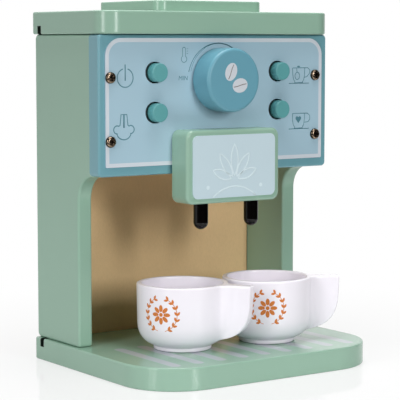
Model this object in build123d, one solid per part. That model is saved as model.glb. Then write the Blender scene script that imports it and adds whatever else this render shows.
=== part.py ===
"""Toy coffee maker: a painted wooden play machine with push buttons, a knob and two cups.

Millimetres. +Z is up, the front faces -Y and +X is to the right of somebody facing the front.
The origin is the middle of the base's underside.
"""

import os
from math import sqrt

from build123d import *

# ---- Base and top boards ----
BODY_W = 186.0  # width of the base, the top board and the front board
BASE_D = 154.5
BASE_T = 15.0
BASE_FRONT_R = 39.0
TOP_T = 15.0
TOP_OVERHANG = 6.7  # how far the top board stands out in front of the front board
TOP_FRONT_R = 12.5
BOARD_REAR_R = 4.0
BOARD_EDGE_R = 1.2

# ---- Side walls: a deep head over a shorter leg, joined by a cove ----
WALL_T = 10.5
WALL_INSET = 3.0
WALL_H = 207.1
WALL_LEG_D = 56.0
WALL_HEAD_D = 75.0
WALL_COVE_R = 16.5
WALL_COVE_DROP = 1.0  # the head's underside lies this much below the front board
WALL_CORNER_R = 2.0
WALL_REAR_R = 3.5
WALL_EDGE_R = 1.5

# ---- Natural wood back panel, let into grooves ----
PANEL_T = 4.0
PANEL_SETBACK = 9.3  # from the rear of the base to the back of the panel
PANEL_GROOVE = 5.5  # depth of the grooves in the base and the top board
PANEL_WALL_GROOVE = 4.0
PANEL_FIT = 0.1  # clearance on each face of the panel
PANEL_END_FIT = 0.3

# ---- Floor under the mechanism, housed in the walls ----
FLOOR_T = 5.0
FLOOR_RAISE = 1.0  # above the lower edge of the front board
FLOOR_HOUSING = 3.0
FLOOR_FIT = 0.1

# ---- Cup-warmer plate on the top board ----
WARMER_W = 86.5
WARMER_D = 76.7
WARMER_T = 7.2
WARMER_R = 7.2
WARMER_SETBACK = 4.2
WARMER_EDGE_R = 0.9

# ---- Front board and control plate ----
FRONT_H = 91.6
FRONT_T = 12.3
FRONT_CORNER_R = 2.9  # seen from the front
FRONT_EDGE_R = 1.3
PLATE_SIDE_MARGIN = 4.8  # front board that shows on each side of the plate
PLATE_LOW_MARGIN = 6.1
PLATE_T = 1.1
PLATE_TOP_DROP = 2.6  # below the underside of the top board
PLATE_TOP_R = 11.5
PLATE_BOTTOM_R = 1.0

# ---- Push buttons ----
BUTTON_X = 50.0
BUTTON_TOP_DROP = 24.9
BUTTON_ROW_GAP = 26.0
BUTTON_R = 6.1
BUTTON_HOLE_R = 7.0
BUTTON_TRAVEL = 4.0
BUTTON_PRESSED_PROUD = 1.8  # what still stands out of the plate at the end of the travel
BUTTON_EDGE_R = 0.9
BUTTON_FLANGE_R = 9.0
BUTTON_FLANGE_T = 3.0
BUTTON_STEM_R = 3.0
BUTTON_STEM_FIT = 0.08
BUTTON_STEM_TAIL = 1.0  # stem that shows behind the bracket at rest

# ---- Button springs and the brackets that hold them ----
SPRING_LEN = 12.0
SPRING_COIL_R = 4.6
SPRING_WIRE_R = 0.4
SPRING_PITCH = 2.6
SPRING_END_FIT = 0.05
BRACKET_W = 24.0
BRACKET_T = 3.0
BRACKET_CLEAR = 2.0  # between a flange and the bracket's legs
BRACKET_FOOT = 9.0
BRACKET_EDGE_R = 0.6

# ---- Knob ----
KNOB_DROP = 30.1
KNOB_R = 21.1
KNOB_T = 17.8
KNOB_FACE_EDGE_R = 2.2
KNOB_BACK_EDGE_R = 0.8
KNOB_GAP = 0.3
KNOB_BORE_DEPTH = 12.0
SHAFT_R = 4.0
SHAFT_FIT = 0.08
SHAFT_PLATE_FIT = 0.3  # the thin control plate stays clear of the shaft
WASHER_R = 9.0
WASHER_T = 1.5
WASHER_GAP = 0.3

# ---- Dispenser head, its plate and the spouts ----
HEAD_W = 75.2
HEAD_H = 48.5
HEAD_T = 17.9
HEAD_HANG = 19.3  # below the front board
HEAD_CORNER_R = 5.5
HEAD_FACE_EDGE_R = 2.0
HEAD_BACK_EDGE_R = 0.6
HEAD_PLATE_W = 66.8
HEAD_PLATE_H = 41.4
HEAD_PLATE_T = 0.8
HEAD_PLATE_R = 4.0
SPOUT_X = 20.6
SPOUT_R = 4.9
SPOUT_REACH = 17.5
SPOUT_DEPTH = 12.0

# ---- Cups ----
CUP_RIM_R = 30.5
CUP_LOW_R = 29.9
CUP_H = 44.0
CUP_WALL = 3.4
CUP_FOOT_R = 19.2
CUP_FOOT_H = 3.0
CUP_FLOOR_T = 3.5
CUP_BASE_R = 13.0
CUP_INNER_R = 11.0
CUP_RIM_EDGE_R = 1.3
CUP_FOOT_EDGE_R = 0.8
HANDLE_REACH = 49.3  # from the cup's axis
HANDLE_TAPER = 1.7
HANDLE_LOW = 8.6
HANDLE_T = 8.0
HANDLE_TIP_R = 2.0
HANDLE_BELLY_R = 16.3
HANDLE_EDGE_R = 2.4
HANDLE_ROOT_R = 4.0  # hollow round where the handle's faces leave the cup
LEFT_CUP_X = -32.5
LEFT_CUP_Y = -16.0
LEFT_CUP_TURN = -57.0  # degrees from +X to the handle
RIGHT_CUP_X = 31.4
RIGHT_CUP_Y = -24.0
RIGHT_CUP_TURN = -31.0
MATCH = 0.01  # how closely an edge's height is matched when it is picked

# ---- Fasteners ----
SCREW_HEAD_R = 3.7
SCREW_HEAD_H = 2.2
SCREW_SHANK_R = 1.7
SCREW_TIP = 2.5
SCREW_RECESS_SPAN = 4.2
SCREW_RECESS_W = 0.9
SCREW_RECESS_DEPTH = 1.2
SCREW_FIT = 0.05
SCREW_HEAD_ROUND = 0.7  # share of the head's height that is domed
PILOT_R = SCREW_SHANK_R + SCREW_FIT
PILOT_SPARE = 1.0  # empty hole beyond a screw's tip
SCREW_HOLE_R = 2.0  # clearance hole in a board that is held
PLATE_SCREW_DROP = 27.9
PLATE_SCREW_GAP = 41.0
PLATE_SCREW_GRIP = 20.0  # length held in the wall
PLATE_SCREW_SHIFT = 2.7  # how far the right pair lies inwards of its wall's middle
HEAD_SCREW_X = 20.0
HEAD_SCREW_RAISE = 17.0  # above the lower edge of the front board
HEAD_SCREW_GRIP = 11.0
BRACKET_SCREW_GRIP = 7.0
KNOB_SCREW_GRIP = 12.0
BASE_SCREW_SINK = 3.0
BASE_SCREW_GRIP = 24.0
DOWEL_R = 3.0
DOWEL_FIT = 0.05
DOWEL_END_FIT = 0.4
BASE_DOWEL_LEN = 22.0
TOP_DOWEL_LEN = 20.0
WARMER_DOWEL_LEN = 10.0
DOWEL_REAR_INSET = 22.0
DOWEL_FRONT_INSET = 11.0
WARMER_DOWEL_X = 26.0

# ---- Levels and planes that follow from the sizes above ----
REAR_Y = BASE_D / 2
TOP_Z = BASE_T + WALL_H
TOP_D = WALL_HEAD_D + FRONT_T + TOP_OVERHANG
PLATE_W = BODY_W - 2 * PLATE_SIDE_MARGIN
PLATE_H = FRONT_H - PLATE_TOP_DROP - PLATE_LOW_MARGIN
WARMER_Z = TOP_Z + TOP_T
FRONT_Z = TOP_Z - FRONT_H
FRONT_BACK_Y = REAR_Y - WALL_HEAD_D
FRONT_FACE_Y = FRONT_BACK_Y - FRONT_T
PLATE_FACE_Y = FRONT_FACE_Y - PLATE_T
PLATE_Z = TOP_Z - PLATE_TOP_DROP - PLATE_H
WALL_OUTER_X = BODY_W / 2 - WALL_INSET
WALL_INNER_X = WALL_OUTER_X - WALL_T
WALL_MID_X = WALL_OUTER_X - WALL_T / 2
PANEL_Y = REAR_Y - PANEL_SETBACK - PANEL_T / 2
FLOOR_Z = FRONT_Z + FLOOR_RAISE
BUTTON_TOP_Z = TOP_Z - BUTTON_TOP_DROP
BUTTON_LOW_Z = BUTTON_TOP_Z - BUTTON_ROW_GAP
SPRING_FRONT_Y = FRONT_BACK_Y + BUTTON_FLANGE_T
BRACKET_FACE_Y = SPRING_FRONT_Y + SPRING_LEN
BRACKET_BACK_Y = BRACKET_FACE_Y + BRACKET_T
KNOB_Z = TOP_Z - KNOB_DROP
KNOB_BACK_Y = PLATE_FACE_Y - KNOB_GAP
WASHER_Y = FRONT_BACK_Y + WASHER_GAP
HEAD_Z = FRONT_Z - HEAD_HANG
HEAD_MID_Z = HEAD_Z + HEAD_H / 2
HEAD_FACE_Y = PLATE_FACE_Y - HEAD_T
HEAD_MID_Y = PLATE_FACE_Y - HEAD_T / 2
HEAD_SCREW_Z = FRONT_Z + HEAD_SCREW_RAISE
PLATE_SCREW_ZS = (TOP_Z - PLATE_SCREW_DROP, TOP_Z - PLATE_SCREW_DROP - PLATE_SCREW_GAP)
PLATE_SCREW_XS = (-WALL_MID_X, WALL_MID_X - PLATE_SCREW_SHIFT)
DOWEL_REAR_Y = REAR_Y - DOWEL_REAR_INSET
BASE_DOWEL_YS = (DOWEL_REAR_Y, REAR_Y - WALL_LEG_D + DOWEL_FRONT_INSET)
TOP_DOWEL_YS = (DOWEL_REAR_Y, REAR_Y - WALL_HEAD_D + DOWEL_FRONT_INSET)
BASE_SCREW_Y = sum(BASE_DOWEL_YS) / 2
WARMER_Y = REAR_Y - WARMER_SETBACK - WARMER_D / 2

BUTTONS = {
    "power_button": (-BUTTON_X, BUTTON_TOP_Z),
    "steam_button": (-BUTTON_X, BUTTON_LOW_Z),
    "tea_button": (BUTTON_X, BUTTON_TOP_Z),
    "coffee_button": (BUTTON_X, BUTTON_LOW_Z),
}
BRACKET_FEET_Z = (
    BUTTON_TOP_Z + BUTTON_FLANGE_R + BRACKET_CLEAR + BRACKET_T + BRACKET_FOOT / 2,
    BUTTON_LOW_Z - BUTTON_FLANGE_R - BRACKET_CLEAR - BRACKET_T - BRACKET_FOOT / 2,
)


# ---- Small helpers ----
def block(x0, x1, y0, y1, z0, z1):
    """A box between two opposite corners."""
    middle = Pos((x0 + x1) / 2, (y0 + y1) / 2, (z0 + z1) / 2)
    return middle * Box(x1 - x0, y1 - y0, z1 - z0)


def rod_y(radius, y0, y1, x, z):
    """A round rod along Y."""
    return Pos(x, (y0 + y1) / 2, z) * Rot(X=90) * Cylinder(radius, y1 - y0)


def rod_z(radius, z0, z1, x, y):
    """A round rod along Z."""
    return Pos(x, y, (z0 + z1) / 2) * Cylinder(radius, z1 - z0)


def board(width, depth, thickness, front_r, rear_r, edge_r):
    """A flat board whose rear edge lies on y = 0 and whose underside lies on z = 0."""
    outline = Rectangle(width, depth, align=(Align.CENTER, Align.MAX))
    outline = fillet(outline.vertices().sort_by(Axis.Y)[:2], front_r)
    outline = fillet(outline.vertices().sort_by(Axis.Y)[-2:], rear_r)
    solid = extrude(outline, thickness)
    levels = solid.faces().filter_by(Axis.Z)
    return fillet(levels.edges(), edge_r)


def upright_board(width, height, thickness, top_r, bottom_r):
    """A thin plate that faces -Y, with its back on y = 0 and its lower edge on z = 0."""
    outline = Rectangle(width, height, align=(Align.CENTER, Align.MIN))
    outline = fillet(outline.vertices().sort_by(Axis.Y)[-2:], top_r)
    outline = fillet(outline.vertices().sort_by(Axis.Y)[:2], bottom_r)
    return extrude(Plane.XZ * outline, thickness)


def screw(length):
    """A pan-head cross-recess screw: its head's underside lies on z = 0 and its shank points down."""
    head = Pos(0, 0, SCREW_HEAD_H / 2) * Cylinder(SCREW_HEAD_R, SCREW_HEAD_H)
    head = fillet(head.edges().sort_by(Axis.Z)[-1], SCREW_HEAD_H * SCREW_HEAD_ROUND)
    recess = Box(SCREW_RECESS_SPAN, SCREW_RECESS_W, 2 * SCREW_RECESS_DEPTH)
    recess += Box(SCREW_RECESS_W, SCREW_RECESS_SPAN, 2 * SCREW_RECESS_DEPTH)
    head -= Pos(0, 0, SCREW_HEAD_H) * recess
    straight = length - SCREW_TIP
    shank = Pos(0, 0, -straight / 2) * Cylinder(SCREW_SHANK_R, straight)
    tip = Pos(0, 0, -straight - SCREW_TIP / 2) * Cone(SCREW_SHANK_R / 4, SCREW_SHANK_R, SCREW_TIP)
    return head + shank + tip


def screw_facing_front(x, y, z, length):
    """A screw driven towards +Y, with its head's underside on the plane y."""
    return Pos(x, y, z) * Rot(X=90) * screw(length)


def screw_facing_back(x, y, z, length):
    """A screw driven towards -Y, with its head's underside on the plane y."""
    return Pos(x, y, z) * Rot(X=-90) * screw(length)


def save(name, solids):
    """Write one sub-part, which is one solid or a group of separate solids."""
    shape = Compound(children=solids) if isinstance(solids, list) else solids
    export_step(shape, f"parts/{name}.step")


# ---- Fasteners ----
PLATE_SCREW_LEN = PLATE_T + FRONT_T + PLATE_SCREW_GRIP
HEAD_SCREW_LEN = FRONT_T + PLATE_T + HEAD_SCREW_GRIP
BRACKET_SCREW_LEN = BRACKET_T + BRACKET_SCREW_GRIP
KNOB_SCREW_LEN = WASHER_T + KNOB_SCREW_GRIP
BASE_SCREW_LEN = BASE_T - BASE_SCREW_SINK + BASE_SCREW_GRIP


def plate_screws():
    return [
        screw_facing_front(x, PLATE_FACE_Y, z, PLATE_SCREW_LEN)
        for x in PLATE_SCREW_XS
        for z in PLATE_SCREW_ZS
    ]


def head_screws():
    return [
        screw_facing_back(x, FRONT_BACK_Y, HEAD_SCREW_Z, HEAD_SCREW_LEN)
        for x in (-HEAD_SCREW_X, HEAD_SCREW_X)
    ]


def bracket_screws():
    return [
        screw_facing_back(x, FRONT_BACK_Y + BRACKET_T, z, BRACKET_SCREW_LEN)
        for x in (-BUTTON_X, BUTTON_X)
        for z in BRACKET_FEET_Z
    ]


def base_screws():
    seat = Pos(0, 0, BASE_SCREW_SINK) * Rot(X=180)
    return [Pos(x, BASE_SCREW_Y, 0) * seat * screw(BASE_SCREW_LEN) for x in (-WALL_MID_X, WALL_MID_X)]


def knob_screw():
    return screw_facing_back(0, WASHER_Y + WASHER_T, KNOB_Z, KNOB_SCREW_LEN)


def dowels(length, level, xs, ys, radius_extra=0.0, end_extra=0.0):
    """Upright dowels centred on a joint at height level, or the holes that take them."""
    half = length / 2 + end_extra
    radius = DOWEL_R + radius_extra
    return [rod_z(radius, level - half, level + half, x, y) for x in xs for y in ys]


def dowel_holes(length, level, xs, ys):
    return dowels(length, level, xs, ys, DOWEL_FIT, DOWEL_END_FIT)


WALL_XS = (-WALL_MID_X, WALL_MID_X)
WARMER_XS = (-WARMER_DOWEL_X, WARMER_DOWEL_X)
BASE_DOWELS = (BASE_DOWEL_LEN, BASE_T, WALL_XS, BASE_DOWEL_YS)
TOP_DOWELS = (TOP_DOWEL_LEN, TOP_Z, WALL_XS, TOP_DOWEL_YS)
WARMER_DOWELS = (WARMER_DOWEL_LEN, WARMER_Z, WARMER_XS, (WARMER_Y,))


# ---- Casework ----
def panel_groove(z0, z1):
    """The slot across a board that takes the top or the bottom of the back panel."""
    half_t = PANEL_T / 2 + PANEL_FIT
    return block(-BODY_W / 2, BODY_W / 2, PANEL_Y - half_t, PANEL_Y + half_t, z0, z1)


def base_board():
    solid = board(BODY_W, BASE_D, BASE_T, BASE_FRONT_R, BOARD_REAR_R, BOARD_EDGE_R)
    solid = Pos(0, REAR_Y, 0) * solid
    solid -= panel_groove(BASE_T - PANEL_GROOVE, BASE_T)
    for x in WALL_XS:
        solid -= rod_z(SCREW_HEAD_R + SCREW_FIT, 0, BASE_SCREW_SINK, x, BASE_SCREW_Y)
        solid -= rod_z(SCREW_HOLE_R, 0, BASE_T, x, BASE_SCREW_Y)
    solid -= dowel_holes(*BASE_DOWELS)
    return solid


def top_board():
    solid = board(BODY_W, TOP_D, TOP_T, TOP_FRONT_R, BOARD_REAR_R, BOARD_EDGE_R)
    solid = Pos(0, REAR_Y, TOP_Z) * solid
    solid -= panel_groove(TOP_Z, TOP_Z + PANEL_GROOVE)
    solid -= dowel_holes(*TOP_DOWELS)
    solid -= dowel_holes(*WARMER_DOWELS)
    return solid


def warmer_plate():
    solid = board(WARMER_W, WARMER_D, WARMER_T, WARMER_R, WARMER_R, WARMER_EDGE_R)
    solid = Pos(0, REAR_Y - WARMER_SETBACK, WARMER_Z) * solid
    return solid - dowel_holes(*WARMER_DOWELS)


def wall_outline():
    """Side view of a wall, with depth along X and height along Y."""
    leg_y = REAR_Y - WALL_LEG_D
    head_z = FRONT_Z - WALL_COVE_DROP
    corners = [
        (REAR_Y, BASE_T),
        (REAR_Y, TOP_Z),
        (FRONT_BACK_Y, TOP_Z),
        (FRONT_BACK_Y, head_z),
        (leg_y, head_z),
        (leg_y, BASE_T),
    ]
    outline = make_face(Polyline(*corners, close=True))
    rounds = {
        WALL_COVE_R: [(leg_y, head_z)],
        WALL_REAR_R: [(REAR_Y, BASE_T), (REAR_Y, TOP_Z)],
        WALL_CORNER_R: [(FRONT_BACK_Y, TOP_Z), (FRONT_BACK_Y, head_z), (leg_y, BASE_T)],
    }
    for radius, places in rounds.items():
        for place in places:
            corner = outline.vertices().sort_by_distance(place)[0]
            outline = fillet(corner, radius)
    return outline


def wall(side):
    """A side wall: side is -1 for the left one and 1 for the right one."""
    solid = extrude(Plane.YZ * wall_outline(), WALL_T)
    solid = fillet(solid.faces().filter_by(Axis.X).edges(), WALL_EDGE_R)
    left_face = WALL_INNER_X if side > 0 else -WALL_OUTER_X
    solid = Pos(left_face, 0, 0) * solid
    inner = side * WALL_INNER_X
    groove_end = inner + side * PANEL_WALL_GROOVE
    housing_end = inner + side * FLOOR_HOUSING
    half_t = PANEL_T / 2 + PANEL_FIT
    groove_x = sorted((inner - side, groove_end))
    housing_x = sorted((inner - side, housing_end))
    solid -= block(*groove_x, PANEL_Y - half_t, PANEL_Y + half_t, BASE_T, TOP_Z)
    floor_top = FLOOR_Z + FLOOR_T + FLOOR_FIT
    solid -= block(*housing_x, FRONT_BACK_Y, PANEL_Y, FLOOR_Z - FLOOR_FIT, floor_top)
    screw_x = PLATE_SCREW_XS[1] if side > 0 else PLATE_SCREW_XS[0]
    screw_end = FRONT_BACK_Y + PLATE_SCREW_GRIP + PILOT_SPARE
    for z in PLATE_SCREW_ZS:
        solid -= rod_y(PILOT_R, FRONT_BACK_Y, screw_end, screw_x, z)
    x = side * WALL_MID_X
    solid -= rod_z(PILOT_R, BASE_T, BASE_T + BASE_SCREW_GRIP + PILOT_SPARE, x, BASE_SCREW_Y)
    solid -= dowel_holes(BASE_DOWEL_LEN, BASE_T, (x,), BASE_DOWEL_YS)
    solid -= dowel_holes(TOP_DOWEL_LEN, TOP_Z, (x,), TOP_DOWEL_YS)
    return solid


def back_panel():
    half_w = WALL_INNER_X + PANEL_WALL_GROOVE - PANEL_END_FIT
    reach = PANEL_GROOVE - PANEL_END_FIT
    half_t = PANEL_T / 2
    return block(-half_w, half_w, PANEL_Y - half_t, PANEL_Y + half_t, BASE_T - reach, TOP_Z + reach)


def mechanism_floor():
    half_w = WALL_INNER_X + FLOOR_HOUSING - FLOOR_FIT
    back_y = PANEL_Y - PANEL_T / 2 - PANEL_FIT
    return block(-half_w, half_w, FRONT_BACK_Y + FLOOR_FIT, back_y, FLOOR_Z, FLOOR_Z + FLOOR_T)


# ---- Front board and control plate ----
def cut_control_holes(solid, y0, y1, shaft_hole_r):
    """Bore the holes that the buttons, the knob's shaft and the screws pass through."""
    for x, z in BUTTONS.values():
        solid -= rod_y(BUTTON_HOLE_R, y0, y1, x, z)
    solid -= rod_y(shaft_hole_r, y0, y1, 0, KNOB_Z)
    for x in PLATE_SCREW_XS:
        for z in PLATE_SCREW_ZS:
            solid -= rod_y(SCREW_HOLE_R, y0, y1, x, z)
    for x in (-HEAD_SCREW_X, HEAD_SCREW_X):
        solid -= rod_y(SCREW_HOLE_R, y0, y1, x, HEAD_SCREW_Z)
    return solid


def front_board():
    solid = upright_board(BODY_W, FRONT_H, FRONT_T, FRONT_CORNER_R, FRONT_CORNER_R)
    solid = fillet(solid.faces().filter_by(Axis.Y).edges(), FRONT_EDGE_R)
    solid = Pos(0, FRONT_BACK_Y, FRONT_Z) * solid
    solid = cut_control_holes(solid, FRONT_FACE_Y, FRONT_BACK_Y, SHAFT_R + SHAFT_FIT)
    for x in (-BUTTON_X, BUTTON_X):
        for z in BRACKET_FEET_Z:
            solid -= rod_y(PILOT_R, FRONT_BACK_Y - BRACKET_SCREW_GRIP - PILOT_SPARE, FRONT_BACK_Y, x, z)
    return solid


def control_plate():
    solid = upright_board(PLATE_W, PLATE_H, PLATE_T, PLATE_TOP_R, PLATE_BOTTOM_R)
    solid = Pos(0, FRONT_FACE_Y, PLATE_Z) * solid
    return cut_control_holes(solid, PLATE_FACE_Y, FRONT_FACE_Y, SHAFT_R + SHAFT_PLATE_FIT)


# ---- Buttons ----
def button(x, z):
    """A dowel button with a flange behind the front board and a stem that its spring rides on."""
    face_y = PLATE_FACE_Y - BUTTON_PRESSED_PROUD - BUTTON_TRAVEL
    cap = rod_y(BUTTON_R, face_y, FRONT_BACK_Y, x, z)
    cap = fillet(cap.edges().sort_by(Axis.Y)[0], BUTTON_EDGE_R)
    flange = rod_y(BUTTON_FLANGE_R, FRONT_BACK_Y, SPRING_FRONT_Y, x, z)
    stem = rod_y(BUTTON_STEM_R, SPRING_FRONT_Y, BRACKET_BACK_Y + BUTTON_STEM_TAIL, x, z)
    return cap + flange + stem


def button_spring(x, z):
    """A coil between a button's flange and the bracket."""
    height = SPRING_LEN - 2 * (SPRING_WIRE_R + SPRING_END_FIT)
    path = Helix(SPRING_PITCH, height, SPRING_COIL_R)
    section = Plane(origin=path @ 0, z_dir=path % 0) * Circle(SPRING_WIRE_R)
    coil = sweep(section, path=path, is_frenet=True)
    start_y = SPRING_FRONT_Y + SPRING_WIRE_R + SPRING_END_FIT
    return Pos(x, start_y, z) * Rot(X=-90) * coil


def spring_bracket(x):
    """A moulded bridge behind two buttons: its stems' guide, and the seat of their springs."""
    top_leg = BUTTON_TOP_Z + BUTTON_FLANGE_R + BRACKET_CLEAR
    low_leg = BUTTON_LOW_Z - BUTTON_FLANGE_R - BRACKET_CLEAR
    half_w = BRACKET_W / 2
    foot_back_y = FRONT_BACK_Y + BRACKET_T
    top_end = top_leg + BRACKET_T + BRACKET_FOOT
    low_end = low_leg - BRACKET_T - BRACKET_FOOT
    x0 = x - half_w
    x1 = x + half_w
    solid = block(x0, x1, BRACKET_FACE_Y, BRACKET_BACK_Y, low_leg - BRACKET_T, top_leg + BRACKET_T)
    solid += block(x0, x1, FRONT_BACK_Y, BRACKET_BACK_Y, top_leg, top_leg + BRACKET_T)
    solid += block(x0, x1, FRONT_BACK_Y, BRACKET_BACK_Y, low_leg - BRACKET_T, low_leg)
    solid += block(x0, x1, FRONT_BACK_Y, foot_back_y, top_leg, top_end)
    solid += block(x0, x1, FRONT_BACK_Y, foot_back_y, low_end, low_leg)
    solid = fillet(solid.faces().filter_by(Axis.X).edges(), BRACKET_EDGE_R)
    for z in (BUTTON_TOP_Z, BUTTON_LOW_Z):
        guide_r = BUTTON_STEM_R + BUTTON_STEM_FIT
        solid -= rod_y(guide_r, BRACKET_FACE_Y, BRACKET_BACK_Y, x, z)
    for z in BRACKET_FEET_Z:
        solid -= rod_y(SCREW_HOLE_R, FRONT_BACK_Y, foot_back_y, x, z)
    return solid


# ---- Knob ----
def control_knob():
    face_y = KNOB_BACK_Y - KNOB_T
    solid = rod_y(KNOB_R, face_y, KNOB_BACK_Y, 0, KNOB_Z)
    rims = solid.edges().filter_by(GeomType.CIRCLE).sort_by(Axis.Y)
    solid = fillet(rims[0], KNOB_FACE_EDGE_R)
    back_rim = solid.edges().filter_by(GeomType.CIRCLE).sort_by(Axis.Y)[-1]
    solid = fillet(back_rim, KNOB_BACK_EDGE_R)
    bore_end = KNOB_BACK_Y - KNOB_BORE_DEPTH
    return solid - rod_y(SHAFT_R + DOWEL_FIT, bore_end, KNOB_BACK_Y, 0, KNOB_Z)


def knob_shaft():
    solid = rod_y(SHAFT_R, KNOB_BACK_Y - KNOB_BORE_DEPTH, WASHER_Y, 0, KNOB_Z)
    return solid - rod_y(PILOT_R, WASHER_Y - KNOB_SCREW_GRIP - PILOT_SPARE, WASHER_Y, 0, KNOB_Z)


def knob_washer():
    solid = rod_y(WASHER_R, WASHER_Y, WASHER_Y + WASHER_T, 0, KNOB_Z)
    return solid - rod_y(SCREW_HOLE_R, WASHER_Y, WASHER_Y + WASHER_T, 0, KNOB_Z)


# ---- Dispenser head ----
def dispenser_head():
    solid = extrude(Plane.XZ * RectangleRounded(HEAD_W, HEAD_H, HEAD_CORNER_R), HEAD_T)
    ends = solid.faces().filter_by(Axis.Y).sort_by(Axis.Y)
    solid = fillet(ends[0].edges(), HEAD_FACE_EDGE_R)
    back = solid.faces().filter_by(Axis.Y).sort_by(Axis.Y)[-1]
    solid = fillet(back.edges(), HEAD_BACK_EDGE_R)
    solid = Pos(0, PLATE_FACE_Y, HEAD_MID_Z) * solid
    for x in (-SPOUT_X, SPOUT_X):
        solid -= rod_z(SPOUT_R + DOWEL_FIT, HEAD_Z, HEAD_Z + SPOUT_DEPTH, x, HEAD_MID_Y)
    for x in (-HEAD_SCREW_X, HEAD_SCREW_X):
        solid -= rod_y(PILOT_R, PLATE_FACE_Y - HEAD_SCREW_GRIP - PILOT_SPARE, PLATE_FACE_Y, x, HEAD_SCREW_Z)
    return solid


def head_plate():
    outline = RectangleRounded(HEAD_PLATE_W, HEAD_PLATE_H, HEAD_PLATE_R)
    return Pos(0, HEAD_FACE_Y, HEAD_MID_Z) * extrude(Plane.XZ * outline, HEAD_PLATE_T)


def spout(x):
    low = HEAD_Z - SPOUT_REACH + SPOUT_R
    barrel = rod_z(SPOUT_R, low, HEAD_Z + SPOUT_DEPTH, x, HEAD_MID_Y)
    return barrel + Pos(x, HEAD_MID_Y, low) * Sphere(SPOUT_R)


# ---- Cups ----
def cup_handle():
    """A flat wing that grows out of the cup's side, level with the rim."""
    inner = CUP_FOOT_R
    corners = [
        (inner, CUP_H),
        (HANDLE_REACH, CUP_H),
        (HANDLE_REACH - HANDLE_TAPER, HANDLE_LOW),
        (inner, HANDLE_LOW),
    ]
    outline = make_face(Polyline(*corners, close=True))
    tip = outline.vertices().sort_by_distance(corners[1])[0]
    outline = fillet(tip, HANDLE_TIP_R)
    belly = outline.vertices().sort_by_distance(corners[2])[0]
    outline = fillet(belly, HANDLE_BELLY_R)
    slab = extrude(Plane.XZ * outline, HANDLE_T / 2, both=True)
    sides = slab.faces().filter_by(Axis.Y)
    rims = sides.edges().filter_by(lambda edge: edge.center().X > CUP_RIM_R)
    return fillet(rims, HANDLE_EDGE_R)


def circles(solid):
    """The solid's round edges, lowest first."""
    return solid.edges().filter_by(GeomType.CIRCLE).sort_by(Axis.Z)


def cup_body():
    """The round outside of a cup, without its foot."""
    height = CUP_H - CUP_FOOT_H
    solid = Pos(0, 0, CUP_FOOT_H + height / 2) * Cone(CUP_LOW_R, CUP_RIM_R, height)
    solid = fillet(circles(solid)[0], CUP_BASE_R)
    return fillet(circles(solid)[-1], CUP_RIM_EDGE_R)


def handle_flares():
    """Hollow rounds that carry the handle's flat faces into the cup's side."""
    half_t = HANDLE_T / 2
    strip = Pos(HANDLE_REACH / 2, 0) * Rectangle(HANDLE_REACH, HANDLE_T)
    plan = Circle(CUP_LOW_R) + strip
    roots = [corner for corner in plan.vertices() if corner.X < CUP_RIM_R]
    plan = fillet(roots, HANDLE_ROOT_R)
    end_x = sqrt((CUP_LOW_R + HANDLE_ROOT_R) ** 2 - (half_t + HANDLE_ROOT_R) ** 2)
    plan &= Pos((CUP_FOOT_R + end_x) / 2, 0) * Rectangle(end_x - CUP_FOOT_R, CUP_RIM_R)
    low_z = CUP_FOOT_H + CUP_BASE_R
    return Pos(0, 0, low_z) * extrude(plan, CUP_H - HANDLE_EDGE_R - low_z)


def cup(x, y, turn):
    foot_h = 2 * CUP_FOOT_H
    foot = Pos(0, 0, foot_h / 2) * Cylinder(CUP_FOOT_R, foot_h)
    foot = fillet(circles(foot)[0], CUP_FOOT_EDGE_R)
    solid = cup_body() + foot + cup_handle() + handle_flares()
    floor_z = CUP_FOOT_H + CUP_FLOOR_T
    hollow_h = CUP_H - floor_z
    hollow = Pos(0, 0, floor_z + hollow_h / 2) * Cylinder(CUP_RIM_R - CUP_WALL, hollow_h)
    solid -= fillet(circles(hollow)[0], CUP_INNER_R)
    mouth = circles(solid).filter_by_position(Axis.Z, CUP_H - MATCH, CUP_H + MATCH)
    inner_rim = mouth.sort_by(SortBy.RADIUS)[0]
    solid = fillet(inner_rim, CUP_RIM_EDGE_R)
    return Pos(x, y, BASE_T) * Rot(Z=turn) * solid


def main():
    os.makedirs("parts", exist_ok=True)
    save("base_board", base_board())
    save("left_wall", wall(-1))
    save("right_wall", wall(1))
    save("back_panel", back_panel())
    save("top_board", top_board())
    save("warmer_plate", warmer_plate())
    save("mechanism_floor", mechanism_floor())
    save("front_board", front_board())
    save("control_plate", control_plate())
    for name, (x, z) in BUTTONS.items():
        save(name, button(x, z))
        save(f"{name}_spring", button_spring(x, z))
    save("left_spring_bracket", spring_bracket(-BUTTON_X))
    save("right_spring_bracket", spring_bracket(BUTTON_X))
    save("control_knob", control_knob())
    save("knob_shaft", knob_shaft())
    save("knob_washer", knob_washer())
    save("knob_screw", knob_screw())
    save("dispenser_head", dispenser_head())
    save("head_plate", head_plate())
    save("left_spout", spout(-SPOUT_X))
    save("right_spout", spout(SPOUT_X))
    save("left_cup", cup(LEFT_CUP_X, LEFT_CUP_Y, LEFT_CUP_TURN))
    save("right_cup", cup(RIGHT_CUP_X, RIGHT_CUP_Y, RIGHT_CUP_TURN))
    save("plate_screws", plate_screws())
    save("head_screws", head_screws())
    save("bracket_screws", bracket_screws())
    save("base_screws", base_screws())
    save("base_dowels", dowels(*BASE_DOWELS))
    save("top_dowels", dowels(*TOP_DOWELS))
    save("warmer_dowels", dowels(*WARMER_DOWELS))


main()
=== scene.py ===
"""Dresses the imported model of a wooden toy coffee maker: paints, prints, springs, cups and the studio."""

import math

import bmesh
import bpy
from mathutils import Matrix, Vector
from mathutils.bvhtree import BVHTree


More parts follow.
